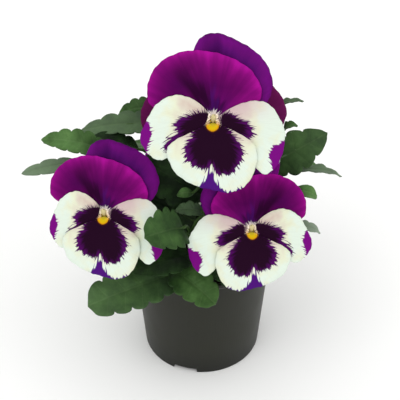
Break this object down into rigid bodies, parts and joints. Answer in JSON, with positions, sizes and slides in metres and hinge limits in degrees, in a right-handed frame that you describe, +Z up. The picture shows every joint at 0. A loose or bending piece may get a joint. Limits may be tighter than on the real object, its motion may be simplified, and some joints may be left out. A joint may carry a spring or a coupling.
{
  "type": "potted pansy planter",
  "caption": "Large-flowered garden pansy in bloom, with leafy stems, in a round plastic nursery pot of compost; a plant that stands on its pot's flat foot.",
  "frame": {"origin": "centre of the pot's foot, on the surface that it stands on", "axes": "+Z up along the pot's axis; -Y is the front, which the blooms face; +X is to the viewer's right from the front"},
  "size_m": [0.1998, 0.1654, 0.2343],
  "materials": {
    "pot_plastic": "satin",
    "compost": "matt, rough",
    "foliage": "satin",
    "violet_petal": "velvety matt",
    "magenta_petal": "velvety matt",
    "white_petal": "velvety matt",
    "pistil": "satin"
  },
  "bodies": {
    "root": {"pot": "pot_plastic", "soil": "compost", "flowering_stem_top": "foliage", "flowering_stem_left": "foliage", "flowering_stem_right": "foliage", "flowering_stem_rear": "foliage", "leafy_stem_left": "foliage", "leafy_stem_left_inner": "foliage", "leafy_stem_right": "foliage", "leafy_stem_right_low": "foliage", "leafy_stem_front": "foliage", "leafy_stem_low": "foliage", "leafy_stem_back": "foliage", "leafy_stem_back_left": "foliage", "leafy_stem_back_right": "foliage", "bloom_top_upper_right_petal": "violet_petal", "bloom_top_upper_left_petal": "magenta_petal", "bloom_top_side_left_petal": "white_petal", "bloom_top_side_right_petal": "white_petal", "bloom_top_lower_petal": "white_petal", "bloom_top_pistil": "pistil", "bloom_left_upper_right_petal": "violet_petal", "bloom_left_upper_left_petal": "magenta_petal", "bloom_left_side_left_petal": "white_petal", "bloom_left_side_right_petal": "white_petal", "bloom_left_lower_petal": "white_petal", "bloom_left_pistil": "pistil", "bloom_right_upper_right_petal": "violet_petal", "bloom_right_upper_left_petal": "magenta_petal", "bloom_right_side_left_petal": "white_petal", "bloom_right_side_right_petal": "white_petal", "bloom_right_lower_petal": "white_petal", "bloom_right_pistil": "pistil", "bloom_rear_upper_right_petal": "violet_petal", "bloom_rear_upper_left_petal": "magenta_petal", "bloom_rear_side_left_petal": "white_petal", "bloom_rear_side_right_petal": "white_petal", "bloom_rear_lower_petal": "white_petal", "bloom_rear_pistil": "pistil"}
  },
  "joints": []
}
